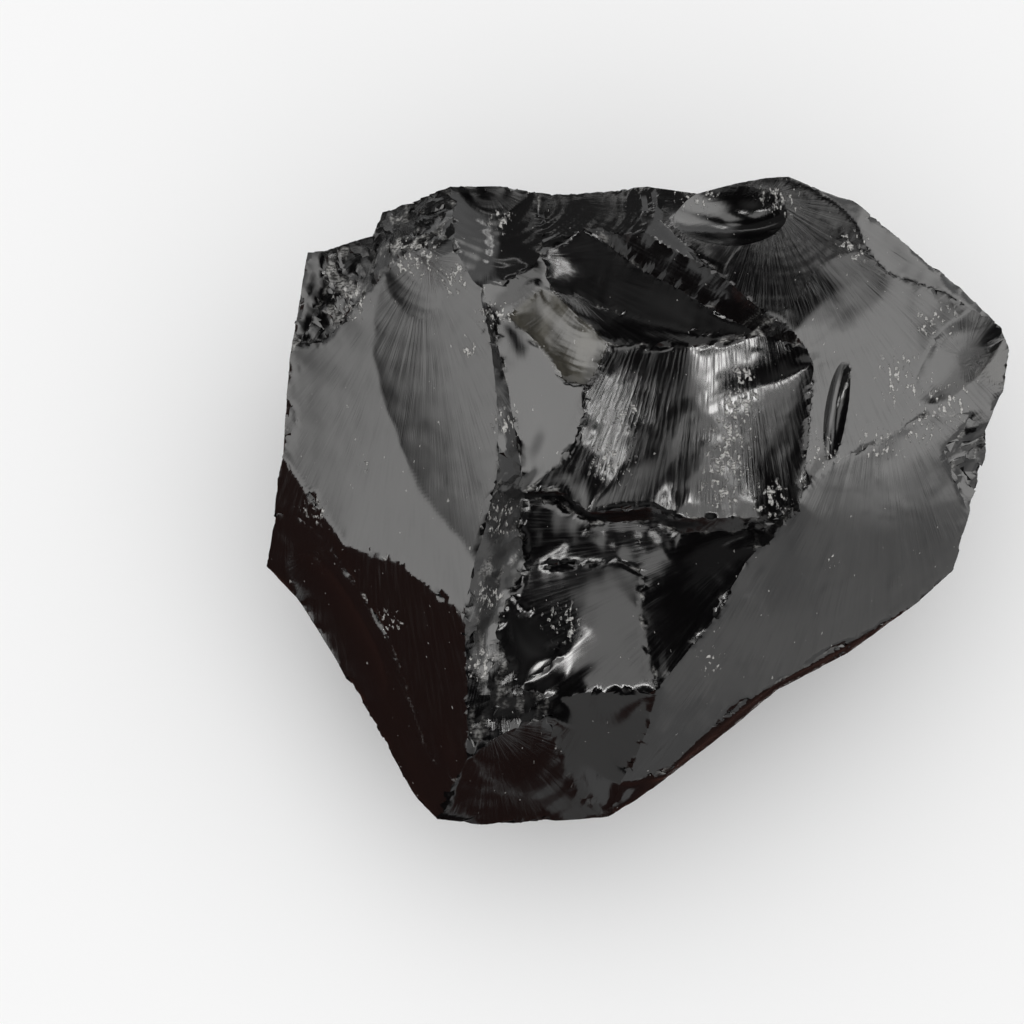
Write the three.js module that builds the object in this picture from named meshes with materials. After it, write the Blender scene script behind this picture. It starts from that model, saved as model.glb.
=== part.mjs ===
import * as THREE from 'three';

// A fist-sized chunk of black obsidian, knapped all over its broken front and
// lying on its back. Millimetres, +Z up, the origin under the middle of the chunk.
//
// Corners are given in the frame of the broken front: x across it, y up it and
// z out of it. A facet is a run of corners, so that two facets that share a
// ridge share its corners and the solid closes.

const frontTilt = THREE.MathUtils.degToRad(15); // how far the front leans towards -Y
const restDepth = 38;                           // from the front's middle plane to the resting face

const corners = {
  rim: [
    [-52, 42, -3], [-43.5, 44, -2], [-42, 48.5, -3], [-30.5, 52, -1.5], [-15.5, 52.5, -1.5],
    [1, 52, 0], [3.5, 51.5, 0.5], [10.5, 50.5, 1.5], [17.5, 52.5, 1.5], [25.5, 54, 1.5],
    [38.5, 49.5, 0], [53.5, 36.5, -0.5], [61, 28.5, -1.5], [62.5, 25, -2], [61.5, 18, -0.5],
    [58.5, 11.5, 1.5], [59.5, 2.5, -1.5], [59, -2.5, -3], [56, -9.5, -3.5], [47.5, -17, -3.5],
    [36, -25.5, -3], [24, -31.5, -1.5], [13.5, -40, 0], [1.5, -49, 3.5], [-4, -52.5, 5],
    [-24, -54, 1.5], [-32.5, -53, 0], [-39, -47, -1.5], [-44.5, -36.5, -3.5], [-50, -26.5, -6],
    [-56.5, -16.5, -8], [-63, -11, -9.5], [-61, -2, -6.5], [-58.5, 7, -5], [-57.5, 23.5, -5],
    [-54.5, 41.5, -6.5],
  ],
  ridge: [
    [-30, 43, 9.5], [-27, 33.5, 12], [-24.5, 26.5, 14.5], [-23.5, 12, 17.5], [-24, 4, 18],
    [-25.5, -7.5, 18], [-27.5, -19, 17.5], [-27.5, -30, 14.5], [-27, -41.5, 9.5],
    [-29.5, -46.5, 6.5],
  ],
  strip: [
    [-25, 35, 11], [-23, 27.5, 13], [-21, 20, 13.5], [-19.5, 10, 14.5], [-18.5, 4.5, 13.5],
    [-18, 1.5, 12],
  ],
  crush: [
    [-56.5, 26, -4.5], [-51.5, 35.5, -2], [-51.5, 26.5, -2], [-47.5, 31, 0], [-43.5, 35.5, 2],
    [-38, 41, 6],
  ],
  keel: [[-55, -3.5, -3.5], [-51, -7, -0.5], [-44.5, -16.5, 3], [-40.5, -23, 5], [-34, -42, 6]],
  bowl: [[-15.5, 40, 7], [-17, 38, 8], [-21.5, 35.5, 10]],
  cliffTop: [
    [-8, 44.5, 8.5], [-2.5, 43.5, 10], [1.5, 43.5, 10], [6.5, 40.5, 11.5], [16, 35.5, 13],
    [20, 31.5, 13], [25.5, 27, 13], [28, 24.5, 12],
  ],
  cliffFoot: [[-13, 42, 8], [0, 38.5, 7], [10.5, 32.5, 8], [20, 27, 8.5]],
  ledgeLip: [[-14, 34.5, 7], [-9, 33.5, 5.5], [-4.5, 31, 5], [9, 27.5, 5.5]],
  underCut: [[-11, 31.5, 6.5], [-7, 28, 4.5], [-4.5, 25.5, 3.5], [9, 25, 4]],
  chip: [
    [-21, 30, 11.5], [-16, 34, 10], [-6.5, 21, 6.5], [-8, 19, 6.5], [-11.5, 19.5, 8],
    [-16, 25.5, 9.5],
  ],
  pale: [[-8.5, 14.5, 7], [-10, 9.5, 8.5], [-12.5, 5.5, 9.5]],
  wall: [[29, 22, 11], [28, 9.5, 11], [27.5, 4.5, 11.5]],
  stepLip: [[-12.5, 1.5, 11], [-7.5, -2, 10], [2.5, -1, 9.5], [6.5, -3, 8.5], [14.5, -3, 9.5], [20, -3, 11]],
  stepFoot: [[-18, 0, 6.5], [-12.5, -0.5, 6], [-7.5, -4, 5], [2.5, -3.5, 5], [7.5, -5.5, 5], [20.5, -5, 8.5]],
  shoulder: [
    [56.5, 14, 2], [48, 14, 4.5], [40, 9.5, 8], [33.5, 6.5, 10], [29.5, 3.5, 12],
    [26.5, -0.5, 13.5], [18, -10, 14.5], [12, -20, 15], [5.5, -28, 16], [3, -31, 16],
  ],
  toe: [
    [2, -37, 13], [0, -42, 9.5], [-2.5, -46.5, 6.5], [-8, -31.5, 14.5], [-13, -32, 13.5],
    [-14.5, -35.5, 12], [-13, -41, 8.5], [-9.5, -48.5, 6],
  ],
  foot: [[-23.5, -39, 11], [-18, -36.5, 12]],
  bevel: [[5, -45, 5], [10.5, -39.5, 6], [18.5, -33, 6], [31, -26, 3], [41, -21, 0]],
  tipEdge: [[51.5, 8, 2], [55, -1, 0]],
  band: [[28.5, 51.5, 3.5], [35, 44.5, 5], [42, 37.5, 5], [51.5, 34, 3]],
  tip: [[49.5, 26.5, 3]],
  stripe: [[4.5, 45.5, 6.5], [10.5, 39.5, 11]],
  column: [
    [-19, -4.5, 8], [-17.5, -11, 7], [-20.5, -15.5, 8.5], [-23, -22, 12.5], [-11.5, -25.5, 12],
    [-19, -31, 12],
  ],
  // The waist is the widest line of the hidden back, just inside the outline.
  waist: [
    [-54, 35, -17], [-41, 44, -21], [-14, 49, -23], [12, 47, -25], [35, 45, -23], [53, 31, -21],
    [58, 13, -20], [54, -7, -19], [34, -23, -17], [10, -40, -14], [-8, -50, -10], [-32, -50, -12],
    [-44, -33, -16], [-57, -14, -21], [-55, 10, -20],
  ],
};

// The resting face is flat: only where its corners stand in x and y is free.
const restingCorners = [
  [-43, 27], [-16, 35], [20, 37], [42, 24], [46, 2], [26, -18], [4, -34], [-26, -38], [-46, -8],
];

const facets = {
  leftStrip: 'rim 35-34, crush 0-1, rim 0',
  cornerCrush: 'crush 1-0, crush 2-4, rim 1-0',
  crownCrush: 'crush 4-5, ridge 0, rim 3-1',
  leftFace: 'crush 3-2, crush 0, rim 34-32, keel 0-4, ridge 9-0, crush 5-4',
  lowLeft: 'rim 31-26, ridge 9, keel 4-0, rim 32',
  crownBowl: 'ridge 0-1, strip 0, bowl 2-0, rim 4-3',
  topArcs: 'bowl 0, cliffFoot 0, cliffTop 0-2, rim 5-4',
  topStripe: 'cliffTop 2-4, stripe 1-0, rim 6-5',
  blackCliff: 'cliffFoot 1-3, cliffTop 7-0',
  ledge: 'ledgeLip 0-3, cliffFoot 3-1, cliffTop 0, cliffFoot 0, bowl 0',
  underCut: 'underCut 0-3, cliffFoot 3, ledgeLip 3-0',
  chip: 'chip 5-2, underCut 2-0, ledgeLip 0, chip 1-0',
  paleFace: 'strip 1-5, pale 2-0, chip 3-5, chip 0-1, ledgeLip 0, bowl 0-2, strip 0',
  ridgeStrip: 'ridge 2-4, strip 5-0, ridge 1',
  windowScar: 'chip 2-3, pale 0-2, strip 5, stepLip 0-5, shoulder 5, wall 2-0, cliffTop 7, cliffFoot 3, underCut 3-2',
  stepCliff: 'stepFoot 0-5, shoulder 5, stepLip 5-0, strip 5',
  lowerScar: 'column 0-2, column 4-5, toe 4-3, shoulder 9-5, stepFoot 5-0',
  pit: 'column 3, column 5-4, column 2',
  column: 'ridge 5-8, foot 0-1, toe 5-4, column 5, column 3-0, stepFoot 0, strip 5, ridge 4',
  footFace: 'rim 26-24, toe 7-5, foot 1-0, ridge 8-9',
  toeFace: 'toe 5-7, rim 24, toe 2-0, shoulder 9, toe 3-4',
  rightFace: 'shoulder 0-9, toe 0-2, bevel 0-4, rim 19-17, tipEdge 1-0',
  brownBevel: 'rim 24-19, bevel 4-0, toe 2',
  tipCrush: 'tipEdge 0-1, rim 17-15, shoulder 0',
  upperFace: 'stripe 0-1, cliffTop 4-7, wall 0-2, shoulder 5-0, rim 15-14, tip 0, rim 12, band 3-0, rim 9-6',
  rimBand: 'band 0-3, rim 12-9',
  tipFacet: 'rim 14-12, tip 0',
};

// ---- solid ---------------------------------------------------------------

function fromFront([x, y, z]) {
  return new THREE.Vector3(x, y, z).applyAxisAngle(new THREE.Vector3(1, 0, 0), frontTilt);
}

// 'rim 3-1, ridge 0' gives rim 3, rim 2, rim 1 and ridge 0.
function cornersOf(run) {
  return run.split(', ').flatMap((piece) => {
    const [name, span] = piece.split(' ');
    const [from, to = from] = span.split('-').map(Number);
    const step = Math.sign(to - from) || 1;
    const count = Math.abs(to - from) + 1;
    return Array.from({ length: count }, (_, i) => corners[name][from + i * step]);
  });
}

// The resting face lies level once the front is tilted, restDepth under its middle.
function restingLoop() {
  return restingCorners.map(([x, y]) => {
    const z = -(restDepth + y * Math.sin(frontTilt)) / Math.cos(frontTilt);
    return [x, y, z];
  });
}

// Cuts an outline into triangles; side is 1 where it faces forwards, -1 where back.
function facetTriangles(outline, side) {
  const flat = outline.map(([x, y]) => new THREE.Vector2(x, y));
  return THREE.ShapeUtils.triangulateShape(flat, []).flatMap((triangle) => {
    const [a, b, c] = triangle.map((i) => outline[i]);
    const twiceArea = (b[0] - a[0]) * (c[1] - a[1]) - (b[1] - a[1]) * (c[0] - a[0]);
    return twiceArea * side > 0 ? [a, b, c] : [a, c, b];
  });
}

// Joins two loops that both run clockwise: whichever has turned less steps on.
function bandTriangles(upper, lower) {
  const turnFromStart = ([x, y]) => {
    const turn = Math.atan2(upper[0][1], upper[0][0]) - Math.atan2(y, x);
    return turn > 0 ? turn : turn + 2 * Math.PI;
  };
  const triangles = [];
  let i = 0;
  let j = 0;
  while (i < upper.length || j < lower.length) {
    const nextUpper = upper[(i + 1) % upper.length];
    const nextLower = lower[(j + 1) % lower.length];
    const upperIsBehind = turnFromStart(nextUpper) <= turnFromStart(nextLower);
    const stepUpper = j === lower.length || (i < upper.length && upperIsBehind);
    const next = stepUpper ? nextUpper : nextLower;
    triangles.push(upper[i % upper.length], next, lower[j % lower.length]);
    if (stepUpper) i += 1;
    else j += 1;
  }
  return triangles;
}

function chunkGeometry() {
  const resting = restingLoop();
  const triangles = [
    ...Object.values(facets).flatMap((run) => facetTriangles(cornersOf(run), 1)),
    ...bandTriangles(corners.rim, corners.waist),
    ...bandTriangles(corners.waist, resting),
    ...facetTriangles(resting, -1),
  ].map(fromFront);

  const geometry = new THREE.BufferGeometry().setFromPoints(triangles);
  geometry.computeBoundingBox();
  const middle = geometry.boundingBox.getCenter(new THREE.Vector3());
  geometry.translate(-middle.x, -middle.y, -geometry.boundingBox.min.z);
  geometry.computeVertexNormals();
  return geometry;
}

// ---- model ---------------------------------------------------------------

const volcanicGlass = new THREE.MeshStandardMaterial({
  color: 0x141213,
  roughness: 0.12,
  metalness: 0,
  flatShading: true,
});

const stone = new THREE.Mesh(chunkGeometry(), volcanicGlass);
stone.name = 'stone';

const group = new THREE.Group();
group.add(stone);

export default group;
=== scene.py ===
import math
import bpy
import numpy as np
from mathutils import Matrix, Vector


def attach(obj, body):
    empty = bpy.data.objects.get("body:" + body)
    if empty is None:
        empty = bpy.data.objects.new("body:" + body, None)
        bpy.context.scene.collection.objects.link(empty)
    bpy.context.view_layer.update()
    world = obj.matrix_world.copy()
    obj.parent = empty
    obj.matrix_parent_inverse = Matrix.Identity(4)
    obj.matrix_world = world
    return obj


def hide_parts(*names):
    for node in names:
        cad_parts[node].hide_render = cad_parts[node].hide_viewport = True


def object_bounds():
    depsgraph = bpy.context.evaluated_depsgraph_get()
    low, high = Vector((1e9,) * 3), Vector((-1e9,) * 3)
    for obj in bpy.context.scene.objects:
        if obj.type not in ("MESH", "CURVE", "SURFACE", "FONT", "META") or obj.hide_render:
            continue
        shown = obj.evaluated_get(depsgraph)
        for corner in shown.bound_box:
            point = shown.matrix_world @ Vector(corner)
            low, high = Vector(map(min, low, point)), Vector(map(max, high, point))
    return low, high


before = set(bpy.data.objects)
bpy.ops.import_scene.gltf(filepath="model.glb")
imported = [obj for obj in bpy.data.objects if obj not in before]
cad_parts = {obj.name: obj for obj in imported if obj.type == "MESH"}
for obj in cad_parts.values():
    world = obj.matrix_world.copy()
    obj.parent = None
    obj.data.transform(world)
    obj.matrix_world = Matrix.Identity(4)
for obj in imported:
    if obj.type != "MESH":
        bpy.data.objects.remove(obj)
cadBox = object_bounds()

# A chunk of black obsidian on its back. Lengths are millimetres in the frame of the broken front
# (x across it, y up it, z out of it) until toRoom turns them into the room's metres.
place = {
    "frontTilt": math.radians(15),  # the front leans towards -Y
    "restDepth": 38,                # from the front's middle plane down to the resting face
}

# Where the scars meet. Two scars that share a ridge share its corners.
corners = {
    "rim": [
        (-52, 42, -3), (-43.5, 44, -2), (-42, 48.5, -3), (-30.5, 52, -1.5), (-15.5, 52.5, -1.5),
        (1, 52, 0), (3.5, 51.5, 0.5), (10.5, 50.5, 1.5), (17.5, 52.5, 1.5), (25.5, 54, 1.5),
        (38.5, 49.5, 0), (53.5, 36.5, -0.5), (61, 28.5, -1.5), (62.5, 25, -2), (61.5, 18, -0.5),
        (58.5, 11.5, 1.5), (59.5, 2.5, -1.5), (59, -2.5, -3), (56, -9.5, -3.5), (47.5, -17, -3.5),
        (36, -25.5, -3), (24, -31.5, -1.5), (13.5, -40, 0), (1.5, -49, 3.5), (-4, -52.5, 5),
        (-24, -54, 1.5), (-32.5, -53, 0), (-39, -47, -1.5), (-44.5, -36.5, -3.5), (-50, -26.5, -6),
        (-56.5, -16.5, -8), (-63, -11, -9.5), (-61, -2, -6.5), (-58.5, 7, -5), (-57.5, 23.5, -5),
        (-54.5, 41.5, -6.5),
    ],
    "ridge": [
        (-30, 43, 9.5), (-27, 33.5, 12), (-24.5, 26.5, 14.5), (-23.5, 12, 17.5), (-24, 4, 18),
        (-25.5, -7.5, 18), (-27.5, -19, 17.5), (-27.5, -30, 14.5), (-27, -41.5, 9.5),
        (-29.5, -46.5, 6.5),
    ],
    "strip": [
        (-25, 35, 11), (-23, 27.5, 13), (-21, 20, 13.5), (-19.5, 10, 14.5), (-18.5, 4.5, 13.5),
        (-18, 1.5, 12),
    ],
    "crush": [
        (-56.5, 26, -4.5), (-51.5, 35.5, -2), (-51.5, 26.5, -2), (-47.5, 31, 0), (-43.5, 35.5, 2),
        (-38, 41, 6),
    ],
    "keel": [
        (-55, -3.5, -3.5), (-51, -7, -0.5), (-44.5, -16.5, 3), (-40.5, -23, 5), (-34, -42, 6),
    ],
    "bowl": [(-15.5, 40, 7), (-17, 38, 8), (-21.5, 35.5, 10)],
    "cliffTop": [
        (-8, 44.5, 8.5), (-2.5, 43.5, 10), (1.5, 43.5, 10), (6.5, 40.5, 11.5), (16, 35.5, 13),
        (20, 31.5, 13), (25.5, 27, 13), (28, 24.5, 12),
    ],
    "cliffFoot": [(-13, 42, 8), (0, 38.5, 7), (10.5, 32.5, 8), (20, 27, 8.5)],
    "ledgeLip": [(-14, 34.5, 7), (-9, 33.5, 5.5), (-4.5, 31, 5), (9, 27.5, 5.5)],
    "underCut": [(-11, 31.5, 6.5), (-7, 28, 4.5), (-4.5, 25.5, 3.5), (9, 25, 4)],
    "chip": [
        (-21, 30, 11.5), (-16, 34, 10), (-6.5, 21, 6.5), (-8, 19, 6.5), (-11.5, 19.5, 8),
        (-16, 25.5, 9.5),
    ],
    "pale": [(-8.5, 14.5, 7), (-10, 9.5, 8.5), (-12.5, 5.5, 9.5)],
    "wall": [(29, 22, 11), (28, 9.5, 11), (27.5, 4.5, 11.5)],
    "stepLip": [
        (-12.5, 1.5, 11), (-7.5, -2, 10), (2.5, -1, 9.5), (6.5, -3, 8.5), (14.5, -3, 9.5),
        (20, -3, 11),
    ],
    "stepFoot": [
        (-18, 0, 6.5), (-12.5, -0.5, 6), (-7.5, -4, 5), (2.5, -3.5, 5), (7.5, -5.5, 5),
        (20.5, -5, 8.5),
    ],
    "shoulder": [
        (56.5, 14, 2), (48, 14, 4.5), (40, 9.5, 8), (33.5, 6.5, 10), (29.5, 3.5, 12),
        (26.5, -0.5, 13.5), (18, -10, 14.5), (12, -20, 15), (5.5, -28, 16), (3, -31, 16),
    ],
    "toe": [
        (2, -37, 13), (0, -42, 9.5), (-2.5, -46.5, 6.5), (-8, -31.5, 14.5), (-13, -32, 13.5),
        (-14.5, -35.5, 12), (-13, -41, 8.5), (-9.5, -48.5, 6),
    ],
    "foot": [(-23.5, -39, 11), (-18, -36.5, 12)],
    "bevel": [(5, -45, 5), (10.5, -39.5, 6), (18.5, -33, 6), (31, -26, 3), (41, -21, 0)],
    "tipEdge": [(51.5, 8, 2), (55, -1, 0)],
    "band": [(28.5, 51.5, 3.5), (35, 44.5, 5), (42, 37.5, 5), (51.5, 34, 3)],
    "tip": [(49.5, 26.5, 3)],
    "stripe": [(4.5, 45.5, 6.5), (10.5, 39.5, 11)],
    "column": [
        (-19, -4.5, 8), (-17.5, -11, 7), (-20.5, -15.5, 8.5), (-23, -22, 12.5), (-11.5, -25.5, 12),
        (-19, -31, 12),
    ],
    "feather": [(-48, -7.5, 2.5), (-39, -10, 8.5)],
    "paleDish": [(-2.5, -10.5, 6), (1.5, -12, 6.5), (0.5, -18, 8.5), (3, -28.5, 14.5)],
    "waist": [
        (-54, 35, -17), (-41, 44, -21), (-14, 49, -23), (12, 47, -25), (35, 45, -23), (53, 31, -21),
        (58, 13, -20), (54, -7, -19), (34, -23, -17), (10, -40, -14), (-8, -50, -10), (-32, -50, -12),
        (-44, -33, -16), (-57, -14, -21), (-55, 10, -20),
    ],
    "resting": [
        (-43, 27), (-16, 35), (20, 37), (42, 24), (46, 2), (26, -18), (4, -34), (-26, -38), (-46, -8),
    ],
}

# One break scar each. edge: the run of corners round it; sag: how far its middle is dished; strike:
# where it was struck; ripple: spacing, height and reach of its rings; hackle: how strong its fine
# lines are; wall: how steep a wall it leaves; crush and shard: depth and size of its broken steps;
# tint: how olive its thin glass looks.
scars = {
    "leftStrip": dict(
        edge="rim 35-34, crush 0-1, rim 0", sag=0.3, strike=(-54, 42, -4), ripple=(1.6, 0.03, 20),
    ),
    "cornerCrush": dict(
        edge="crush 1-0, crush 2-4, rim 1-0", hackle=0.5, sag=0.8, crush=0.7, shard=1.8,
        strike=(-43, 43, 0),
    ),
    "crownCrush": dict(
        edge="crush 4-5, ridge 0, rim 3-1", hackle=0.5, sag=0.6, crush=0.9, shard=2.2,
        strike=(-40, 47, 0),
    ),
    "leftFace": dict(
        edge="crush 3-2, crush 0, rim 34-33, feather 0-1, ridge 6-0, crush 5-4", hackle=0.3,
        sag=0.6, strike=(-36, 42, 7), ripple=(7.0, 0.05, 60),
    ),
    "leftFoot": dict(
        edge="rim 33-32, keel 0-4, ridge 9-6, feather 1-0", hackle=0.35, sag=0.3,
        strike=(-36, 42, 7), ripple=(5.0, 0.04, 90),
    ),
    "lowLeft": dict(
        edge="rim 31-26, ridge 9, keel 4-0, rim 32", hackle=0.35, sag=0.4, strike=(-58, 0, -5),
        ripple=(4.0, 0.04, 40),
    ),
    "crownBowl": dict(
        edge="ridge 0-1, strip 0, bowl 2-0, rim 4-3", hackle=0.2, sag=2.6, strike=(-24, 53, 0),
        ripple=(2.2, 0.07, 16),
    ),
    "topArcs": dict(
        edge="bowl 0, cliffFoot 0, cliffTop 0-2, rim 5-4", hackle=0.3, sag=1.2, strike=(-17, 51, 2),
        ripple=(1.9, 0.22, 26),
    ),
    "topStripe": dict(
        edge="cliffTop 2-4, stripe 1-0, rim 6-5", sag=0.3, strike=(2, 53, 0),
        ripple=(1.5, 0.03, 20),
    ),
    "blackCliff": dict(
        edge="cliffFoot 1-3, cliffTop 7-0", hackle=0.2, sag=0.5, strike=(28, 24, 12),
        ripple=(3.0, 0.01, 30),
    ),
    "ledge": dict(
        edge="ledgeLip 0-3, cliffFoot 3-1, cliffTop 0, cliffFoot 0, bowl 0", hackle=0.15, sag=0.6,
        strike=(-16, 40, 6), ripple=(2.4, 0.02, 26),
    ),
    "underCut": dict(
        edge="underCut 0-3, cliffFoot 3, ledgeLip 3-0", hackle=0.5, sag=0.3, strike=(-10, 33, 8),
        ripple=(1.5, 0.05, 20),
    ),
    "chip": dict(
        edge="chip 5-2, underCut 2-0, ledgeLip 0, chip 1-0", hackle=0.3, tint=1.0, sag=-1.6,
        strike=(-4, 38, 10), ripple=(1.0, 0.06, 40),
    ),
    "paleFace": dict(
        edge="strip 1-5, pale 2-0, chip 3-5, chip 0-1, ledgeLip 0, bowl 0-2, strip 0", hackle=0.1,
        sag=0.8, strike=(-20, 38, 10), ripple=(6.0, 0.03, 40),
    ),
    "ridgeStrip": dict(
        edge="ridge 2-4, strip 5-0, ridge 1", hackle=0.3, sag=0.2, crush=0.35, shard=1.6,
        strike=(-24, 20, 14),
    ),
    "windowScar": dict(
        edge="chip 2-3, pale 0-2, strip 5, stepLip 0-5, shoulder 5, wall 2-0, cliffTop 7, "
             "cliffFoot 3, underCut 3-2",
        hackle=0.6, sag=2.0, strike=(14, 62, 6), ripple=(5.0, 0.03, 80),
    ),
    "stepCliff": dict(
        edge="stepFoot 0-5, shoulder 5, stepLip 5-0, strip 5", hackle=0.6, sag=0.2,
        strike=(16, 0, 10), ripple=(1.3, 0.14, 22),
    ),
    "lowerScar": dict(
        edge="column 0-1, paleDish 0-3, shoulder 9-5, stepFoot 5-0", hackle=0.35, sag=0.9,
        strike=(24, -2, 14), ripple=(3.0, 0.05, 60),
    ),
    "paleDish": dict(
        edge="column 1-2, column 4-5, toe 4-3, shoulder 9, paleDish 3-0", hackle=0.15, sag=0.1,
        strike=(24, -2, 14), ripple=(3.0, 0.02, 60),
    ),
    "pit": dict(edge="column 3, column 5-4, column 2", sag=1.2, wall=5, strike=(-20, -17, 10)),
    "column": dict(
        edge="ridge 5-8, foot 0-1, toe 5-4, column 5, column 3-0, stepFoot 0, strip 5, ridge 4",
        hackle=0.4, sag=2.0, crush=0.6, shard=3.0, strike=(-22, -6, 12), ripple=(2.6, 0.12, 30),
    ),
    "footFace": dict(
        edge="rim 26-24, toe 7-5, foot 1-0, ridge 8-9", hackle=0.3, sag=0.2, strike=(-24, -36, 12),
        ripple=(3.5, 0.06, 30),
    ),
    "toeFace": dict(
        edge="toe 5-7, rim 24, toe 2-0, shoulder 9, toe 3-4", hackle=0.15, sag=0.3,
        strike=(-6, -31, 15), ripple=(5.0, 0.02, 30),
    ),
    "rightFace": dict(
        edge="shoulder 0-9, toe 0-2, bevel 0-4, rim 19-17, tipEdge 1-0", hackle=0.65, sag=-1.8,
        strike=(40, 22, 10), ripple=(9.0, 0.05, 90),
    ),
    "brownBevel": dict(
        edge="rim 24-19, bevel 4-0, toe 2", hackle=0.4, sag=0.1, strike=(40, -20, 0),
        ripple=(2.0, 0.03, 40),
    ),
    "tipCrush": dict(
        edge="tipEdge 0-1, rim 17-15, shoulder 0", sag=0.4, crush=0.7, shard=1.7,
        strike=(58, 10, 2),
    ),
    "upperFace": dict(
        edge="stripe 0-1, cliffTop 4-7, wall 0-2, shoulder 5-0, rim 15-14, tip 0, rim 12, "
             "band 3-0, rim 9-6",
        hackle=0.6, sag=1.2, strike=(22, 50, 4), ripple=(6.0, 0.05, 60),
    ),
    "rimBand": dict(
        edge="band 0-3, rim 12-9", hackle=0.35, sag=0.4, strike=(24, 53, 2), ripple=(3.0, 0.04, 50),
    ),
    "tipFacet": dict(
        edge="rim 14-12, tip 0", tint=0.35, sag=0.2, strike=(60, 24, 0), ripple=(2.0, 0.02, 20),
    ),
}

# Dishes struck out of the scars above: the deepest point across and up the front, how far the dish
# leans across and up, its long direction, how deep it is and how far out it reaches along and across.
dishes = {
    "leftHollow": dict(
        at=(-35.5, 18), lean=(0.09, 0.02), along=(0.50, -0.87, 0), depth=0.75, reach=(24, 12.5),
        strike=(-36, 40, 8), ripple=(4.0, 0.05, 40), hackle=0.4,
    ),
    "crownScoop": dict(
        at=(-34.5, 31), lean=(0.12, 0.04), along=(0.65, -0.76, 0), depth=1.3, reach=(13, 7.5),
        strike=(-35, 41, 8), ripple=(1.8, 0.05, 20), hackle=0.3,
    ),
    "crownNick": dict(
        at=(-31.5, 33), lean=(0.10, 0.02), along=(0.1, -1, 0), depth=1.0, reach=(8, 3.6),
        strike=(-31, 41, 9), ripple=(1.2, 0.06, 14), hackle=0.3,
    ),
    "roundScoop": dict(
        at=(20.8, 47.2), lean=(-0.30, -0.10), along=(1, 0.1, 0), depth=2.2, reach=(7.6, 4.6),
        strike=(21, 52, 3), ripple=(1.6, 0.02, 20), hackle=0.2,
    ),
    "lensSlot": dict(
        at=(33, 15.5), lean=(0, 0), along=(0.25, 1, 0), depth=1.2, reach=(7.5, 2.0),
        strike=(33, 22, 9), hackle=0.3,
    ),
    "fanDish": dict(
        at=(22, 36), lean=(-0.05, 0.05), along=(0.5, 0.86, 0), depth=0.55, reach=(15, 9),
        strike=(22, 50, 3), ripple=(1.7, 0.03, 30), hackle=0.6,
    ),
    "tipDish": dict(
        at=(50, 20), lean=(0.05, 0), along=(0.7, 0.7, 0), depth=0.6, reach=(7, 4),
        strike=(56, 24, 2), ripple=(1.8, 0.06, 15), hackle=0.4,
    ),
    "lowDish": dict(
        at=(-50, -20), lean=(0, 0), along=(0.6, -0.8, 0), depth=0.9, reach=(14, 6),
        strike=(-56, -10, 0), ripple=(2.6, 0.06, 30), hackle=0.35,
    ),
}

surface = {
    "cellsAcross": 314,            # the skin has twice this squared triangles
    "frontShare": 0.25,            # how far the cells crowd towards the front
    "middle": (-4, 5, -15),        # of the core and the pebble, well inside the chunk
    "core": (42, 36, 4),           # half sizes of the flat core that the lines start from
    "pebble": (64, 55, 30),        # half sizes of the pebble that they run to
    "probe": 0.05,                 # a step aside that measures the surface's slope
    "crispness": 0.03,             # lower pulls a vertex harder onto the ridge it is beside
    "longestShift": 0.7,           # the furthest that a ridge pulls a vertex
    "sharpAngle": 24,              # degrees past which a ridge is shaded sharp
    "waves": [(9.0, 0.05, 0), (3.5, 0.02, 40)],        # in every scar: size, height and seed
    "rippleWander": 0.35,          # how far ripples stray from true rings, in spacings
    "rippleFloor": 0.35,           # share of a ripple's height left where it is faintest
    "wall": 3.0,                   # how steeply a scar rises outside its outline
    "jag": (1.6, 0.25),            # size and depth of the outline's raggedness
    "fenceDrop": 1.5,              # a scar also rises this far below its outline's lowest corner
    "chipReach": 2.5,              # gap to the next scar within which a ridge chips
    "chipFloor": 0.45,             # shards lower than this leave the ridge whole
    "ridgeChips": [(2.0, 0.5, 0.3), (4.5, 0.9, 0.8)],  # size, depth and how far in from the ridge
    "settleRounds": 8,
    "settleStep": 0.6,             # share of the way that a corner settles in one round
    "settleLimit": 2.0,            # the furthest that a corner settles
    "sideApart": 3.0,              # side scars meet at blunt ridges, whose gap counts this many times
    "sideRipple": (0.28, 0.012, 1.6),  # spacing, height and reach, as shares of the scar's reach up
    "sideHackle": 0.45,
    "sideStrike": 0.9,             # how far above its deepest point a side scar is struck, likewise
}

# Scars in the sides: turn round the chunk in degrees from +X towards +Y, level, reach round and up,
# and depth.
sideScars = [
    (12, -20, 24, 20, 2.6), (48, -14, 22, 16, 2.0), (62, -34, 26, 16, 3.2), (92, -16, 24, 18, 2.4),
    (118, -34, 28, 18, 3.4), (166, -22, 24, 18, 2.8), (196, -26, 22, 16, 2.6), (222, -14, 20, 14, 2.0),
    (246, -25, 18, 12, 1.8), (272, -22, 18, 11, 1.6), (300, -18, 22, 13, 2.0), (326, -18, 22, 13, 2.2),
    (344, -28, 20, 14, 2.6), (30, -36, 14, 9, 1.8), (78, -8, 12, 6, 1.2), (104, -42, 12, 8, 1.6),
    (130, -12, 12, 9, 1.2), (150, -38, 14, 9, 1.8), (182, -10, 12, 6, 1.0), (210, -34, 12, 8, 1.5),
    (258, -30, 12, 7, 1.2), (286, -27, 10, 6, 1.0), (312, -8, 12, 5, 0.9), (356, -8, 10, 6, 1.0),
    (20, -10, 9, 5, 0.8), (338, -14, 8, 6, 0.9),
]


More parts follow.
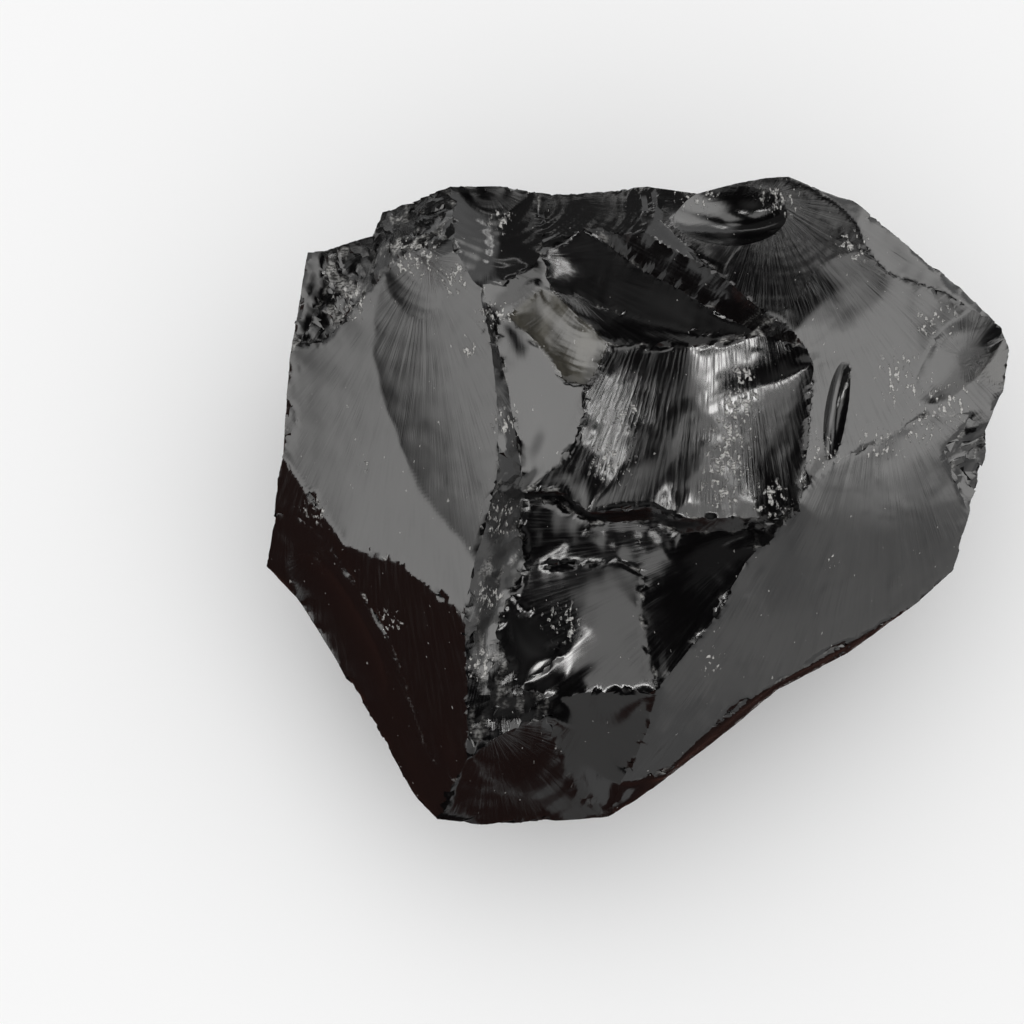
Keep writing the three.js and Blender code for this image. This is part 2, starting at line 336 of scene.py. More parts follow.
def cornerKeys(run):
    # "rim 3-1, ridge 0" gives rim 3, rim 2, rim 1 and ridge 0
    picked = []
    for piece in run.split(", "):
        name, span = piece.split(" ")
        ends = [int(end) for end in span.split("-")]
        step = 1 if ends[-1] >= ends[0] else -1
        picked += [(name, i) for i in range(ends[0], ends[-1] + step, step)]
    return picked


def unit(vectors):
    return vectors / np.linalg.norm(vectors, axis=-1, keepdims=True)


def sideways(lines):
    # any direction square to each line
    return unit(np.cross(lines, np.array([0.31, 0.87, 0.39])))


def scatter(cells, seed):
    # a repeatable number from 0 to 1 for each lattice cell: the broken part of a large sine
    wave = np.sin(cells @ np.array([127.1, 311.7, 74.7]) + seed * 17.31) * 43758.5453
    return wave - np.floor(wave)


def grain(points, size, seed):
    # smooth noise from -1 to 1: scattered numbers on a lattice, blended by p*p*(3 - 2p)
    spot = points / size
    cell = np.floor(spot)
    part = spot - cell
    part = part * part * (3 - 2 * part)
    total = np.zeros(len(points))
    for corner in np.ndindex(2, 2, 2):
        weight = np.prod(np.where(corner, part, 1 - part), axis=1)
        total += weight * scatter(cell + corner, seed)
    return 2 * total - 1


def shards(points, size, seed):
    # broken steps from 0 to about 1: each point takes the tilted flat of its nearest scattered seat
    spot = points / size
    cell = np.floor(spot)
    nearest = np.full(len(points), np.inf)
    height = np.zeros(len(points))
    for corner in np.ndindex(3, 3, 3):
        there = cell + corner - 1
        seat = there + np.stack([scatter(there, seed + k) for k in range(3)], axis=1)
        tilt = np.stack([scatter(there, seed + 3 + k) for k in range(3)], axis=1) - 0.5
        away = spot - seat
        distance = (away ** 2).sum(axis=1)
        flat = scatter(there, seed + 6) + 1.3 * (away * tilt).sum(axis=1)
        height = np.where(distance < nearest, flat, height)
        nearest = np.minimum(nearest, distance)
    return height


def dishShape(bend, s, t):
    # b0 + b1 s + b2 t + b3 s*s + b4 s*t + b5 t*t
    return bend[0] + bend[1] * s + bend[2] * t + bend[3] * s * s + bend[4] * s * t + bend[5] * t * t


def fitScar(name, settings, places):
    # the plane nearest the scar's corners, then a damped least-squares dish through them whose
    # middle is pushed in by sag
    outline = np.array([places[key] for key in cornerKeys(settings["edge"])], float)
    middle = outline.mean(axis=0)
    axes = np.linalg.svd(outline - middle)[2]
    out = axes[2] * np.sign(axes[2][2])
    frameAxes = np.array([axes[0], np.cross(out, axes[0]), out])
    s, t, h = frameAxes @ (outline - middle).T
    size = math.sqrt((s * s + t * t).mean())
    s, t = np.append(s, 0) / size, np.append(t, 0) / size
    h = np.append(h, -settings["sag"])
    weight = np.append(np.ones(len(outline)), 3.0)
    terms = np.stack([np.ones_like(s), s, t, s * s, s * t, t * t], axis=1) * weight[:, None]
    damping = np.diag([0, 0.01, 0.01, 0.4, 0.4, 0.4])
    bend = np.linalg.solve(terms.T @ terms + damping, terms.T @ (h * weight))
    bend = bend / np.array([1, size, size, size ** 2, size ** 2, size ** 2])
    return dict(settings, name=name, outline=outline, middle=middle, axes=frameAxes, bend=bend)


def fitDish(name, settings):
    # depth * (s*s / reach0**2 + t*t / reach1**2) over the deepest point
    out = unit(np.array(settings["out"], float))
    along = np.array(settings["along"], float)
    along = unit(along - out * (along @ out))
    frameAxes = np.array([along, np.cross(out, along), out])
    depth, reach = settings["depth"], settings["reach"]
    bend = np.array([0, 0, 0, depth / reach[0] ** 2, 0, depth / reach[1] ** 2])
    middle = np.array(settings["at"], float)
    return dict(settings, name=name, outline=None, middle=middle, axes=frameAxes, bend=bend)


def meetDish(scar, origins, lines):
    # the first root of a r*r + b r + c where origin + r * line lies on the dish
    s0, t0, w0 = scar["axes"] @ (origins - scar["middle"]).T
    s1, t1, w1 = scar["axes"] @ lines.T
    bend = scar["bend"]
    a = bend[3] * s1 * s1 + bend[4] * s1 * t1 + bend[5] * t1 * t1
    b = bend[1] * s1 + bend[2] * t1 + 2 * bend[3] * s0 * s1 + bend[4] * (s0 * t1 + s1 * t0)
    b = b + 2 * bend[5] * t0 * t1 - w1
    c = dishShape(bend, s0, t0) - w0
    inside = b * b - 4 * a * c
    under = -b + np.sqrt(np.maximum(inside, 0))
    reach = 2 * c / np.where(np.abs(under) < 1e-9, 1e-9, under)
    return np.where((inside < 0) | (under <= 0) | (c <= 0), np.inf, reach)


def outlineParts(scar, points):
    # the distance outside the outline as seen from the front, and what the dish must be lifted by
    # to run through the outline: each edge's gap, weighted by one over its distance cubed
    outline = scar["outline"]
    edge = np.roll(outline, -1, axis=0) - outline
    flat, flatEdge = outline[:, :2], edge[:, :2]
    away = points[:, None, :2] - flat
    part = np.clip((away * flatEdge).sum(axis=2) / (flatEdge ** 2).sum(axis=1), 0, 1)
    distance = ((away - part[:, :, None] * flatEdge) ** 2).sum(axis=2)
    x, y = points[:, None, 0], points[:, None, 1]
    fromY, toY = flat[:, 1], flat[:, 1] + flatEdge[:, 1]
    crossing = (fromY > y) != (toY > y)
    rise = np.where(flatEdge[:, 1] == 0, 1e-9, flatEdge[:, 1])
    crossing &= x < flat[:, 0] + flatEdge[:, 0] * (y - fromY) / rise
    isInside = crossing.sum(axis=1) % 2 == 1
    outside = np.where(isInside, -1, 1) * np.sqrt(distance.min(axis=1))
    seat = outline + part[:, :, None] * edge - scar["middle"]
    s, t, h = np.moveaxis(seat @ scar["axes"].T, 2, 0)
    weight = 1 / (distance + 0.1) ** 1.5
    lift = ((h - dishShape(scar["bend"], s, t)) * weight).sum(axis=1) / weight.sum(axis=1)
    return outside, lift


def ripples(scar, points):
    # height * cos(2 pi distance / spacing) * exp(-distance / reach) about the strike point
    if "ripple" not in scar:
        return 0
    spacing, height, reach = scar["ripple"]
    distance = np.linalg.norm(points - np.array(scar["strike"], float), axis=1)
    distance += surface["rippleWander"] * spacing * grain(points, 3 * spacing, 5)
    least = surface["rippleFloor"]
    fade = least + (1 - least) * grain(points, 6.0, 9) ** 2
    return height * fade * np.cos(2 * math.pi * distance / spacing) * np.exp(-distance / reach)


def meetScar(scar, origins, lines, reach):
    # Newton steps from the plain dish onto the dish with its lift, ripples and slow waves
    index = scar["seed"]
    outside = np.full(len(reach), -1.0)
    for _ in range(3):
        points = origins + reach[:, None] * lines
        s, t, w = scar["axes"] @ (points - scar["middle"]).T
        lift = 0
        if scar["outline"] is not None:
            outside, lift = outlineParts(scar, points)
        wave = sum(tall * grain(points, size, index + shift) for size, tall, shift in surface["waves"])
        height = dishShape(scar["bend"], s, t) + lift + ripples(scar, points) + wave
        slope = np.maximum(scar["axes"][2] @ lines.T, 0.3)
        reach = reach + np.clip((height - w) / slope, -4, 4)
    if scar["outline"] is None:
        return reach
    size, depth = surface["jag"]
    ragged = outside + depth * grain(points, size, index + 80) * (outside > 0)
    under = scar["outline"][:, 2].min() - surface["fenceDrop"] - points[:, 2]
    return reach + scar.get("wall", surface["wall"]) * (np.maximum(ragged, 0) + np.maximum(under, 0))


def loopTable(loop):
    # distance from the middle and level at every turn round a closed loop of corners
    loop = np.array(loop, float)
    steps = np.linspace(0, 1, 24, endpoint=False)[:, None]
    dense = np.concatenate([a + (b - a) * steps for a, b in zip(loop, np.roll(loop, -1, axis=0))])
    turn = np.arctan2(dense[:, 1], dense[:, 0])
    order = np.argsort(turn)
    return turn[order], np.hypot(dense[:, 0], dense[:, 1])[order], dense[order, 2]


def restingLoop():
    sin, cos = math.sin(place["frontTilt"]), math.cos(place["frontTilt"])
    return [(x, y, -(place["restDepth"] + y * sin) / cos) for x, y in corners["resting"]]


sideTables = [loopTable(loop) for loop in (corners["rim"], corners["waist"], restingLoop())]


def meetSides(origins, lines):
    # the sides run straight from the rim to the waist and on to the resting face; Newton steps find
    # where each line's distance from the middle equals theirs
    reach = np.full(len(origins), 30.0)
    for _ in range(10):
        points = origins + reach[:, None] * lines
        turn = np.arctan2(points[:, 1], points[:, 0])
        far = np.maximum(np.hypot(points[:, 0], points[:, 1]), 1e-6)
        outwards = (points[:, 0] * lines[:, 0] + points[:, 1] * lines[:, 1]) / far
        (rimFar, rimLevel), (waistFar, waistLevel), (restFar, restLevel) = [
            (np.interp(turn, t, f, period=2 * math.pi), np.interp(turn, t, z, period=2 * math.pi))
            for t, f, z in sideTables
        ]
        level = points[:, 2]
        upperSlope = (rimFar - waistFar) / (rimLevel - waistLevel)
        lowerSlope = (waistFar - restFar) / (waistLevel - restLevel)
        isUpper = level > waistLevel
        slope = np.where(level > rimLevel, 0, np.where(isUpper, upperSlope, lowerSlope))
        upperSide = waistFar + upperSlope * (np.minimum(level, rimLevel) - waistLevel)
        side = np.where(isUpper, upperSide, waistFar + lowerSlope * (level - waistLevel))
        steep = np.maximum(outwards - slope * lines[:, 2], 0.12)
        reach = np.clip(reach + (side - far) / steep, 0.5, 120)
    return reach


def meetRest(origins, lines):
    # the plane that becomes level once the front is tilted
    up = np.array([0, math.sin(place["frontTilt"]), math.cos(place["frontTilt"])])
    sink = lines @ up
    return np.where(sink < -1e-4, (-place["restDepth"] - origins @ up) / np.minimum(sink, -1e-4), np.inf)


def settleCorners():
    # each corner moves in or out along z towards the mean of the dishes that meet there, weighted by
    # how squarely each faces the front, by at most settleLimit
    start = {(name, i): np.array(point, float)
             for name, points in corners.items() if name not in ("waist", "resting")
             for i, point in enumerate(points)}
    places = {key: point.copy() for key, point in start.items()}
    up = np.array([[0.0, 0.0, 1.0]])
    for _ in range(surface["settleRounds"]):
        total = {key: [0.0, 0.0] for key in places}
        for name, settings in scars.items():
            scar = fitScar(name, settings, places)
            for key in cornerKeys(settings["edge"]):
                below = places[key] - 40 * up[0]
                rise = meetDish(scar, below[None], up)[0]
                if np.isfinite(rise) and abs(rise - 40) < 6:
                    weight = scar["axes"][2][2] ** 2
                    total[key][0] += weight * (below[2] + rise)
                    total[key][1] += weight
        for key, (level, weight) in total.items():
            if weight > 0.05:
                step, limit = surface["settleStep"], surface["settleLimit"]
                moved = (1 - step) * places[key][2] + step * level / weight
                places[key][2] = np.clip(moved, start[key][2] - limit, start[key][2] + limit)
    return places


settled = settleCorners()
allScars = [fitScar(name, settings, settled) for name, settings in scars.items()]
for number, scar in enumerate(allScars):
    scar["seed"] = number


def meetSurface(origins, lines):
    # the nearest of all the scars along each line, with its crushed steps and the ridges' chips; the
    # scar's number, -1 for a plain side and -2 for the resting face; and how much further the next is
    nearest = meetSides(origins, lines)
    second = np.full(len(lines), np.inf)
    number = np.full(len(lines), -1)
    for scar in allScars:
        reach = meetDish(scar, origins, lines)
        close = np.flatnonzero(reach < nearest + 5)
        if len(close) == 0:
            continue
        found = meetScar(scar, origins[close], lines[close], reach[close])
        before = nearest[close]
        if scar["outline"] is not None:
            second[close] = np.minimum(second[close], np.maximum(before, found))
        elif "onSide" in scar:
            apart = surface["sideApart"] * np.abs(before - found)
            second[close] = np.minimum(second[close], np.minimum(before, found) + apart)
        number[close] = np.where(found < before, scar["seed"], number[close])
        nearest[close] = np.minimum(before, found)
    rest = meetRest(origins, lines)
    gap = np.minimum(second, np.where(rest > nearest, rest, np.inf)) - nearest
    points = origins + nearest[:, None] * lines
    for scar in allScars:
        if "crush" in scar:
            mine = np.flatnonzero(number == scar["seed"])
            nearest[mine] -= scar["crush"] * shards(points[mine], scar["shard"], scar["seed"])
    ridge = np.flatnonzero(gap < surface["chipReach"])
    for size, depth, fade in surface["ridgeChips"]:
        broken = np.maximum(shards(points[ridge], size, 3) - surface["chipFloor"], 0)
        nearest[ridge] -= depth * broken * np.exp(-gap[ridge] / fade)
    number = np.where(rest < nearest, -2, number)
    return np.minimum(nearest, rest), number, gap


def seatDish(settings, origin, line):
    # the dish's deepest point lies its depth below the surface it is struck from, and it opens along
    # that surface's normal plus its lean
    aside = sideways(line)
    moves = 0.5 * np.array([np.zeros(3), aside, np.cross(line, aside)])
    reach = meetSurface(origin + moves, np.tile(line, (3, 1)))[0]
    points = origin + moves + reach[:, None] * line
    normal = unit(np.cross(points[1] - points[0], points[2] - points[0]))
    out = unit(normal * np.sign(normal @ line) + np.array(settings["lean"]))
    return dict(settings, at=points[0] - out * settings["depth"], out=out)


def frontDish(settings):
    x, y = settings["at"]
    lean = (*settings["lean"], 0)
    return seatDish(dict(settings, lean=lean), np.array([x, y, -40.0]), np.array([0.0, 0.0, 1.0]))


def sideDish(turn, level, reachRound, reachUp, depth):
    # a dish in the sides, struck from above it
    turn = math.radians(turn)
    heading = np.array([math.cos(turn), math.sin(turn), 0.0])
    origin = np.array([0, 0, float(level)])
    settings = dict(
        lean=(0, 0, 0), along=(-heading[1], heading[0], 0), depth=depth, reach=(reachRound, reachUp),
        ripple=tuple(share * reachUp for share in surface["sideRipple"]),
        hackle=surface["sideHackle"], onSide=True,
    )
    settings = seatDish(settings, origin, heading)
    above = np.array([0, 0, surface["sideStrike"] * reachUp])
    return dict(settings, strike=tuple(settings["at"] + above))


seated = [fitDish(name, frontDish(settings)) for name, settings in dishes.items()]
seated += [fitDish(f"side{i}", sideDish(*row)) for i, row in enumerate(sideScars)]
for scar in seated:
    scar["seed"] = len(allScars)
    allScars.append(scar)


def aim(u, v):
    # the square (u, v) folded onto a sphere by equal areas, crowded towards the front, then the line
    # from a flat core inside the chunk to a pebble round it
    fold = 1 - (np.abs(u) + np.abs(v))
    ring = 1 - np.abs(fold)
    turn = (np.abs(v) - np.abs(u)) / np.maximum(ring, 1e-9) + 1
    turn = np.where(ring < 1e-9, 1, turn) * math.pi / 4
    level = np.arccos(np.clip(np.sign(fold) * (1 - ring * ring), -1, 1))
    level = level - surface["frontShare"] * np.sin(level)
    across = np.sin(level)
    x = across * np.cos(turn) * np.sign(u + 1e-12)
    y = across * np.sin(turn) * np.sign(v + 1e-12)
    ball = np.stack([x, y, np.cos(level)], axis=1)
    middle = np.array(surface["middle"], float)
    core = ball * np.array(surface["core"], float)
    return core + middle, unit(ball * np.array(surface["pebble"], float) - core)


def foldedIds(count):
    # numbers the corners of the square grid so that its border meets itself on the far side
    ids = np.arange((count + 1) ** 2).reshape(count + 1, count + 1)
    for side in (ids[0], ids[-1], ids[:, 0], ids[:, -1]):
        side[:] = np.minimum(side, side[::-1])
    ids[-1, -1] = ids[0, -1] = ids[-1, 0] = ids[0, 0]
    return np.unique(ids, return_inverse=True)[1].reshape(ids.shape)


def skinStone():
    # one sample of the surface and its slope in the middle of each cell; each vertex then sits where
    # its cells' tangent planes meet, which puts it on the ridge between two scars
    count = surface["cellsAcross"]
    middle = (np.arange(count) + 0.5) / count * 2 - 1
    u, v = [grid.ravel() for grid in np.meshgrid(middle, middle, indexing="ij")]
    origins, lines = aim(u, v)
    reach, number, gap = meetSurface(origins, lines)
    points = origins + reach[:, None] * lines
    aside = sideways(lines)
    nearby = []
    for heading in (aside, np.cross(lines, aside)):
        moved = origins + surface["probe"] * heading
        nearby.append(moved + meetSurface(moved, lines)[0][:, None] * lines - points)
    normals = unit(np.cross(nearby[0], nearby[1]))
    normals *= np.sign((normals * lines).sum(axis=1))[:, None]

    ids = foldedIds(count)
    quads = np.stack([ids[:-1, :-1], ids[1:, :-1], ids[1:, 1:], ids[:-1, 1:]], axis=-1).reshape(-1, 4)
    total = ids.max() + 1
    spread = np.zeros((total, 3, 3))
    pull = np.zeros((total, 3))
    mean = np.zeros((total, 3))
    shares = np.zeros(total)
    outer = normals[:, :, None] * normals[:, None, :]
    push = normals * (normals * points).sum(axis=1)[:, None]
    for k in range(4):
        np.add.at(spread, quads[:, k], outer)
        np.add.at(pull, quads[:, k], push)
        np.add.at(mean, quads[:, k], points)
        np.add.at(shares, quads[:, k], 1)
    mean /= shares[:, None]
    weight = surface["crispness"]
    spread += weight * np.eye(3)
    solved = np.linalg.solve(spread, (pull + weight * mean)[:, :, None])[:, :, 0]
    shift = solved - mean
    length = np.linalg.norm(shift, axis=1, keepdims=True)
    solved = mean + shift * np.minimum(1, surface["longestShift"] / np.maximum(length, 1e-9))
    return solved, quads, number, gap


def tilted(points):
    # turned about X by the front's tilt
    sin, cos = math.sin(place["frontTilt"]), math.cos(place["frontTilt"])
    x, y, z = np.asarray(points, float).T
    return np.stack([x, y * cos - z * sin, y * sin + z * cos], axis=1)


def roomOffset():
    # the CAD box's middle less the middle of the corners' own box
    loops = [np.array(loop, float) for name, loop in corners.items() if name != "resting"]
    everything = tilted(np.concatenate(loops + [np.array(restingLoop())]))
    middle = (everything.min(axis=0) + everything.max(axis=0)) / 2000
    return (np.array(cadBox[0]) + np.array(cadBox[1])) / 2 - middle


offset = roomOffset()


def toRoom(points):
    return tilted(points) / 1000 + offset


def aimRoom(direction):
    # a direction of the front's frame in the room
    return tilted(np.array([direction], float))[0]


def strikeMap(quadPoints, number):
    # turn about the scar's strike point and distance from it, both in mm, for each face corner
    strikes = np.array([scar["strike"] for scar in allScars] + [(0, 0, 60), (0, 0, 60)], float)
    outs = np.array([scar["axes"] for scar in allScars] + [np.eye(3), np.eye(3)])
    away = quadPoints - strikes[number][:, None, :]
    frames = outs[number]
    s = (away * frames[:, None, 0, :]).sum(axis=2)
    t = (away * frames[:, None, 1, :]).sum(axis=2)
    turn = np.arctan2(t, s)
    centre = np.arctan2(t.mean(axis=1), s.mean(axis=1))[:, None]
    turn = centre + (turn - centre + math.pi) % (2 * math.pi) - math.pi
    return np.stack([turn * 10, np.hypot(s, t)], axis=2)


def makeStone():
    points, quads, number, gap = skinStone()
    mesh = bpy.data.meshes.new("obsidianChunk")
    mesh.vertices.add(len(points))
    mesh.vertices.foreach_set("co", toRoom(points).ravel())
    mesh.loops.add(quads.size)
    mesh.loops.foreach_set("vertex_index", quads.ravel())
    mesh.polygons.add(len(quads))
    mesh.polygons.foreach_set("loop_start", np.arange(0, quads.size, 4))
    mesh.update(calc_edges=True)
    mesh.polygons.foreach_set("use_smooth", np.ones(len(quads), bool))

    strike = mesh.uv_layers.new(name="strike")
    strike.data.foreach_set("uv", strikeMap(points[quads], number).ravel())
    for name, values in skinMarks(points, quads, number, gap).items():
        mark = mesh.attributes.new(name, "FLOAT", "POINT")
        mark.data.foreach_set("value", values)
    mesh.validate()
    mesh.set_sharp_from_angle(angle=math.radians(surface["sharpAngle"]))
    stone = bpy.data.objects.new("obsidianChunk", mesh)
    bpy.context.collection.objects.link(stone)
    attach(stone, "root")
    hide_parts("stone")
    return stone


# Bruises where small blows crushed the glass white, and painted glints (the strong run from (18, 20) to
# (14, 1.5) is a painted highlight): place, radius and strength.
bruisesAndGlints = [
    (50, 29, 3.0, 0.7), (44, 20, 3.5, 0.6), (47, 12, 3.0, 0.5), (40, 9, 2.5, 0.8), (30, 8, 2.5, 0.6),
    (22, 0, 2.5, 0.8), (-27, 24, 1.5, 0.8), (-36, 40, 3.0, 0.9), (-30, 36, 2.0, 0.9),
    (-22, 46, 1.8, 0.9), (-23, 30, 2.2, 0.9), (-21, 12, 2.0, 0.9), (-22, -3, 2.5, 0.8),
    (-24, -16, 2.0, 1.0), (-25, -27, 2.0, 1.0), (-12, -20, 2.5, 0.7), (-40, -20, 2.0, 0.5),
    (-53, -2, 2.0, 0.5), (-44, 6, 1.2, 0.4), (-47, 33, 3.0, 0.6), (10, 51, 3.0, 0.8),
    # from (18, 20) to (14, 1.5): painted glints, a streak of highlight on the hackled break painted
    # white, not crushed glass
    (24, 50, 3.0, 0.6), (18, 20, 1.6, 1.3), (17, 15.5, 2.2, 1.4), (16, 11, 2.2, 1.4),
    (15, 6, 2.6, 1.4), (14, 1.5, 2.4, 1.3), (-1, 14, 2.0, 0.7), (36, 42, 2.5, 0.6),
    (52, 16, 3.0, 0.8), (12, -26, 2.0, 0.5), (32, -10, 1.5, 0.4), (-4, 6, 3.0, 0.6),
]
marking = {
    "ridgeWidth": 0.35,   # mm over which a ridge's mark dies away
    "bluntShare": 0.35,   # of a ridge's mark left on the sides
    "plainHackle": 0.4,   # of the sides and the resting face where no scar is
    # the lowest level holds for the painted glints as well as the bruises
    "lowest": -12,        # bruises lie above this level only
}


def skinMarks(points, quads, number, gap):
    # edge: how near a ridge is; crushed, hackle and tint: taken from the scar a cell lies on; all
    # averaged onto the vertices. The bruise mark, for crushed glass and painted glints alike: strength *
    # exp(-distance**2 / radius**2), the greatest wins
    blunt = marking["bluntShare"]
    sharp = [blunt if "onSide" in scar else 1.0 for scar in allScars] + [0.0, blunt]
    cells = {"edge": np.array(sharp)[number] * np.exp(-np.maximum(gap, 0) / marking["ridgeWidth"])}
    for name, key, plain in (
        ("crushed", "crush", 0), ("hackle", "hackle", marking["plainHackle"]), ("tint", "tint", 0),
    ):
        cells[name] = np.array([scar.get(key, 0) for scar in allScars] + [plain, plain], float)[number]
    shares = np.bincount(quads.ravel(), minlength=len(points))
    marks = {}
    for name, values in cells.items():
        total = np.bincount(quads.ravel(), np.repeat(values, 4), minlength=len(points))
        marks[name] = total / shares
    bruiseAndGlint = np.zeros(len(points))
    for x, y, radius, strength in bruisesAndGlints:
        distance = np.hypot(points[:, 0] - x, points[:, 1] - y)
        bruiseAndGlint = np.maximum(bruiseAndGlint, strength * np.exp(-(distance / radius) ** 2))
    marks["bruiseAndGlint"] = bruiseAndGlint * (points[:, 2] > marking["lowest"])
    return marks


def addNode(tree, kind, links=(), **settings):
    # a node with its settings; links is pairs of input and value, where a socket is linked
    node = tree.nodes.new("ShaderNode" + kind)
    for name, value in settings.items():
        setattr(node, name, value)
    for key, value in links:
        if isinstance(value, bpy.types.NodeSocket):
            tree.links.new(value, node.inputs[key])
        else:
            node.inputs[key].default_value = value
    return node


def calc(tree, operation, first, second=0.0, third=0.0):
    links = [(0, first), (1, second), (2, third)]
    return addNode(tree, "Math", links, operation=operation).outputs[0]


def remap(tree, value, low, high, toLow=0.0, toHigh=1.0):
    links = [
        ("Value", value), ("From Min", low), ("From Max", high), ("To Min", toLow),
        ("To Max", toHigh),
    ]
    return addNode(tree, "MapRange", links, interpolation_type="SMOOTHSTEP").outputs["Result"]


def noise(tree, vector, scale, stretch=(1, 1, 1), detail=2.0):
    moved = addNode(tree, "Mapping", [("Vector", vector), ("Scale", stretch)]).outputs[0]
    return addNode(tree, "TexNoise", [("Vector", moved), ("Scale", scale), ("Detail", detail)]).outputs[0]


def blend(tree, mask, first, second):
    return addNode(tree, "Mix", [(0, mask), (6, first), (7, second)], data_type="RGBA").outputs[2]


glass = {
    "black": (0.0022, 0.0020, 0.0022, 1),
    "olive": (0.060, 0.056, 0.045, 1),
    # pale: crushed glass, and also the colour of the painted glints
    "crushedGlassAndGlint": (0.46, 0.45, 0.43, 1),
    "ior": 1.5,
    "polish": 0.09,                 # roughness of a clean break
    "haze": 0.22,                   # more of it in streaks along the hackle
    "crushedRough": 0.45,
    "fineHackle": (11.0, 0.14, 1),  # lines round and bands along the way from the strike
    "broadHackle": (1.4, 0.04, 1),
    "bands": 110.0,                 # sizes of the noises, per metre
    "flecks": 2600.0,
    "patches": 330.0,
    "specks": 1500.0,
    "dust": 1300.0,
    "swell": 90.0,
    "hackleDepth": 0.00016,
    "gritDepth": 0.00010,
    "swellDepth": 0.00012,
}


def obsidianMaterial():
    material = bpy.data.materials.new("obsidian")
    material.use_nodes = True
    tree = material.node_tree
    shader = tree.nodes["Principled BSDF"]
    shader.inputs["IOR"].default_value = glass["ior"]
    where = addNode(tree, "TexCoord").outputs["Object"]
    strike = addNode(tree, "UVMap", uv_map="strike").outputs["UV"]
    edge, crushed, hackle, tint, bruiseAndGlint = [
        addNode(tree, "Attribute", attribute_name=name).outputs["Fac"]
        for name in ("edge", "crushed", "hackle", "tint", "bruiseAndGlint")
    ]

    # hackle: fine lines that run away from the strike point, in bands that come and go
    fine = noise(tree, strike, 1.0, glass["fineHackle"], 3.0)
    broad = noise(tree, strike, 1.0, glass["broadHackle"], 1.0)
    bands = remap(tree, noise(tree, where, glass["bands"]), 0.42, 0.62, 0.25, 1.0)
    lines = calc(tree, "ADD", calc(tree, "MULTIPLY", fine, 0.30), calc(tree, "MULTIPLY", broad, 0.9))
    hackled = calc(tree, "MULTIPLY", calc(tree, "MULTIPLY", lines, bands), hackle)

    # crushed glass: white flecks along the ridges, on the bruises and over the broken scars; the
    # strongest bruise spots are painted glints, a highlight painted white
    fleck = noise(tree, where, glass["flecks"], (0.5, 1.0, 1.0))
    patch = noise(tree, where, glass["patches"], (1.0, 0.5, 1.0), 3.0)
    speck = noise(tree, where, glass["specks"], (1.0, 0.5, 1.0), 3.0)
    dust = noise(tree, where, glass["dust"], (1, 0.55, 1))
    onEdge = calc(tree, "MULTIPLY", remap(tree, edge, 0.25, 0.85), remap(tree, patch, 0.36, 0.54))
    onCrush = calc(tree, "MULTIPLY", remap(tree, crushed, 0.2, 1.2), remap(tree, patch, 0.52, 0.70))
    # the bruise spots: crushed glass, and on the strong run across the hackled break a painted highlight
    onBruiseAndGlint = remap(tree, calc(tree, "MULTIPLY_ADD", bruiseAndGlint, 0.13, speck), 0.62, 0.68, 0.0, 0.8)
    onBruiseAndGlint = calc(tree, "MULTIPLY", onBruiseAndGlint, remap(tree, bruiseAndGlint, 0.03, 0.3))
    amount = calc(tree, "MAXIMUM", calc(tree, "MAXIMUM", onEdge, onCrush), onBruiseAndGlint)
    broken = calc(tree, "MULTIPLY", amount, remap(tree, fleck, 0.40, 0.60, 0.2, 1.0))
    pale = calc(tree, "MAXIMUM", broken, remap(tree, dust, 0.735, 0.77, 0.0, 0.4))

    # colour: black, olive where the glass is thin, pale where it is crushed and where glints are painted
    thin = calc(tree, "MULTIPLY", tint, remap(tree, patch, 0.3, 0.7, 0.4, 1.0))
    dark = blend(tree, thin, glass["black"], glass["olive"])
    tree.links.new(blend(tree, pale, dark, glass["crushedGlassAndGlint"]), shader.inputs["Base Color"])
    streak = calc(tree, "MULTIPLY", remap(tree, fine, 0.40, 0.70), calc(tree, "ADD", hackle, 0.15))
    rough = calc(tree, "MULTIPLY_ADD", streak, glass["haze"], glass["polish"])
    rough = calc(tree, "ADD", rough, calc(tree, "MULTIPLY", pale, glass["crushedRough"]))
    tree.links.new(rough, shader.inputs["Roughness"])

    # relief: a slow swell, the grit of the crushed glass, then the hackle
    gritted = calc(tree, "ADD", amount, calc(tree, "MULTIPLY", crushed, 0.15))
    grit = calc(tree, "MULTIPLY", fleck, calc(tree, "MINIMUM", gritted, 1.0))
    normal = None
    for height, depth in (
        (noise(tree, where, glass["swell"]), glass["swellDepth"]),
        (grit, glass["gritDepth"]),
        (hackled, glass["hackleDepth"]),
    ):
        bump = addNode(tree, "Bump", [("Height", height), ("Distance", depth)])
        if normal:
            tree.links.new(normal, bump.inputs["Normal"])
        normal = bump.outputs[0]
    tree.links.new(normal, shader.inputs["Normal"])
    return material


def plainMaterial(name, color):
    material = bpy.data.materials.new(name)
    material.use_nodes = True
    shader = material.node_tree.nodes["Principled BSDF"]
    shader.inputs["Base Color"].default_value = (*color, 1)
    shader.inputs["Roughness"].default_value = 1.0
    shader.inputs["Specular IOR Level"].default_value = 0.0
    return material


